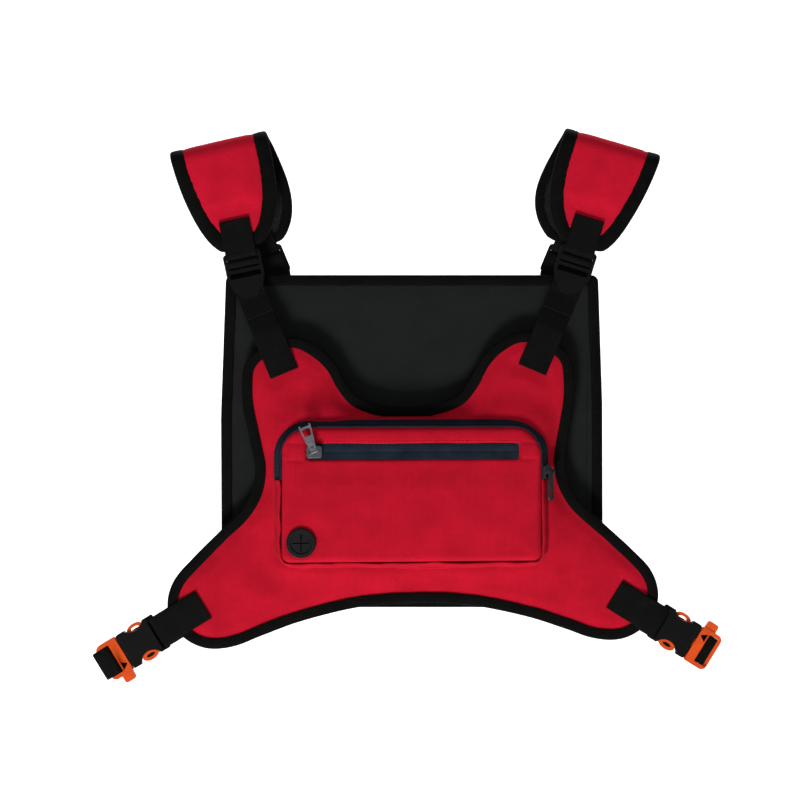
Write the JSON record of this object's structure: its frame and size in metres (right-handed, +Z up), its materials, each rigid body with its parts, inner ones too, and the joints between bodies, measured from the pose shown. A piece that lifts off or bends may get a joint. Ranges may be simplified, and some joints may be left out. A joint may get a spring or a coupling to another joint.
{
  "type": "chest bag vest",
  "caption": "Wearable chest vest with a zipped front pocket, padded back panel, folded shoulder pads, tilting strap adjusters and side-release waist buckles.",
  "frame": {"origin": "midway between the two shoulder folds, where the vest hangs on the wearer's shoulders or a hanger", "axes": "+Z up, -Y out of the front pocket, +X to the viewer's right when the front is seen"},
  "size_m": [0.5254, 0.0532, 0.4643],
  "materials": {
    "red_canvas": "woven polyester canvas, matt",
    "charcoal_fabric": "woven polyester, matt charcoal",
    "foam": "closed-cell foam sheet, hidden",
    "black_fabric": "matt black woven tape and lining",
    "webbing": "ribbed black polypropylene webbing",
    "zip_tape": "dark navy zip tape, slight sheen",
    "zip_metal": "gunmetal plated zinc casting",
    "black_plastic": "moulded black acetal, satin",
    "orange_plastic": "moulded orange acetal, satin gloss",
    "rubber": "moulded black rubber"
  },
  "bodies": {
    "back_half": {"back_shell": "charcoal_fabric", "back_foam": "foam", "back_lining": "charcoal_fabric", "back_binding": "black_fabric", "left_pad_rear_cover": "red_canvas", "left_pad_rear_lining": "black_fabric", "left_pad_rear_binding": "black_fabric", "left_rear_tab": "webbing", "left_rear_strap": "webbing", "left_waist_strap": "webbing", "right_pad_rear_cover": "red_canvas", "right_pad_rear_lining": "black_fabric", "right_pad_rear_binding": "black_fabric", "right_rear_tab": "webbing", "right_rear_strap": "webbing", "right_waist_strap": "webbing"},
    "front_half": {"front_shell": "red_canvas", "front_foam": "foam", "front_lining": "black_fabric", "front_binding": "black_fabric", "pocket_gusset": "red_canvas", "pocket_rim": "red_canvas", "pocket_face": "red_canvas", "main_zip_tape": "zip_tape", "front_zip_tape": "zip_tape", "earphone_port": "rubber", "left_pad_front_cover": "red_canvas", "left_pad_front_lining": "black_fabric", "left_pad_front_binding": "black_fabric", "left_front_tab": "webbing", "left_front_strap": "webbing", "left_buckle_female": "black_plastic", "left_buckle_tab": "webbing", "right_pad_front_cover": "red_canvas", "right_pad_front_lining": "black_fabric", "right_pad_front_binding": "black_fabric", "right_front_tab": "webbing", "right_front_strap": "webbing", "right_buckle_female": "black_plastic", "right_buckle_tab": "webbing"},
    "front_zip_slider": {"front_zip_slider": "zip_metal"},
    "front_zip_pull": {"front_zip_pull": "zip_metal"},
    "main_zip_slider": {"main_zip_slider": "zip_metal"},
    "main_zip_pull": {"main_zip_pull": "zip_metal"},
    "left_front_lock": {"left_front_lock": "black_plastic", "left_front_wrap": "webbing"},
    "left_rear_lock": {"left_rear_lock": "black_plastic", "left_rear_wrap": "webbing"},
    "left_buckle_male": {"left_buckle_male": "orange_plastic", "left_waist_loop": "webbing"},
    "left_buckle_whistle_side_arm": {"left_buckle_whistle_side_arm": "orange_plastic"},
    "left_buckle_plain_side_arm": {"left_buckle_plain_side_arm": "orange_plastic"},
    "right_front_lock": {"right_front_lock": "black_plastic", "right_front_wrap": "webbing"},
    "right_rear_lock": {"right_rear_lock": "black_plastic", "right_rear_wrap": "webbing"},
    "right_buckle_male": {"right_buckle_male": "orange_plastic", "right_waist_loop": "webbing"},
    "right_buckle_whistle_side_arm": {"right_buckle_whistle_side_arm": "orange_plastic"},
    "right_buckle_plain_side_arm": {"right_buckle_plain_side_arm": "orange_plastic"}
  },
  "joints": [
    {"name": "front_half_swing", "type": "hinge", "parent": "back_half", "child": "front_half", "pos_m": [0, 0, 0.0135], "axis": [-1, 0, 0], "range_deg": [0, 20]},
    {"name": "front_zip_travel", "type": "slide", "parent": "front_half", "child": "front_zip_slider", "axis": [1, 0, 0.0052], "range_m": [0, 0.16]},
    {"name": "front_zip_pull_lift", "type": "hinge", "parent": "front_zip_slider", "child": "front_zip_pull", "pos_m": [-0.07951, -0.0365, -0.25941], "axis": [0.9379, 0, 0.3469], "range_deg": [0, 120]},
    {"name": "main_zip_travel", "type": "slide", "parent": "front_half", "child": "main_zip_slider", "axis": [-0.0052, 0, 1], "range_m": [0, 0.012]},
    {"name": "main_zip_pull_lift", "type": "hinge", "parent": "main_zip_slider", "child": "main_zip_pull", "pos_m": [0.11679, -0.02793, -0.27588], "axis": [-0.5463, -0.8376, -0.0029], "range_deg": [0, 120]},
    {"name": "left_front_lock_tilt", "type": "hinge", "parent": "front_half", "child": "left_front_lock", "pos_m": [-0.14124, -0.011, -0.09399], "axis": [-0.9781, 0, -0.2079], "range_deg": [0, 25]},
    {"name": "left_rear_lock_tilt", "type": "hinge", "parent": "back_half", "child": "left_rear_lock", "pos_m": [-0.12341, 0.011, -0.09106], "axis": [0.9239, 0, 0.3827], "range_deg": [0, 25]},
    {"name": "left_buckle_whistle_side_squeeze", "type": "hinge", "parent": "left_buckle_male", "child": "left_buckle_whistle_side_arm", "pos_m": [-0.2317, -0.0115, -0.43458], "axis": [0, -1, 0], "range_deg": [0, 12], "stiffness_Nm_per_rad": 0.02},
    {"name": "left_buckle_plain_side_squeeze", "type": "hinge", "parent": "left_buckle_male", "child": "left_buckle_plain_side_arm", "pos_m": [-0.24189, -0.0115, -0.41795], "axis": [0, 1, 0], "range_deg": [0, 12], "stiffness_Nm_per_rad": 0.02},
    {"name": "left_buckle_release", "type": "slide", "parent": "front_half", "child": "left_buckle_male", "axis": [-0.8526, 0, -0.5225], "range_m": [0, 0.035], "deforming": ["left_buckle_whistle_side_arm", "left_buckle_plain_side_arm"]},
    {"name": "right_front_lock_tilt", "type": "hinge", "parent": "front_half", "child": "right_front_lock", "pos_m": [0.14138, -0.011, -0.09163], "axis": [-0.9537, 0, 0.3007], "range_deg": [0, 25]},
    {"name": "right_rear_lock_tilt", "type": "hinge", "parent": "back_half", "child": "right_rear_lock", "pos_m": [0.13251, 0.011, -0.09106], "axis": [0.9239, 0, -0.3827], "range_deg": [0, 25]},
    {"name": "right_buckle_whistle_side_squeeze", "type": "hinge", "parent": "right_buckle_male", "child": "right_buckle_whistle_side_arm", "pos_m": [0.23974, -0.0115, -0.40937], "axis": [0, -1, 0], "range_deg": [0, 12], "stiffness_Nm_per_rad": 0.02},
    {"name": "right_buckle_plain_side_squeeze", "type": "hinge", "parent": "right_buckle_male", "child": "right_buckle_plain_side_arm", "pos_m": [0.22952, -0.0115, -0.42598], "axis": [0, 1, 0], "range_deg": [0, 12], "stiffness_Nm_per_rad": 0.02},
    {"name": "right_buckle_release", "type": "slide", "parent": "front_half", "child": "right_buckle_male", "axis": [0.8517, 0, -0.524], "range_m": [0, 0.035], "deforming": ["right_buckle_whistle_side_arm", "right_buckle_plain_side_arm"]}
  ],
  "couplings": [
    {"joint": "left_buckle_plain_side_squeeze", "follows": "left_buckle_whistle_side_squeeze", "ratio": 1},
    {"joint": "right_buckle_plain_side_squeeze", "follows": "right_buckle_whistle_side_squeeze", "ratio": 1}
  ]
}
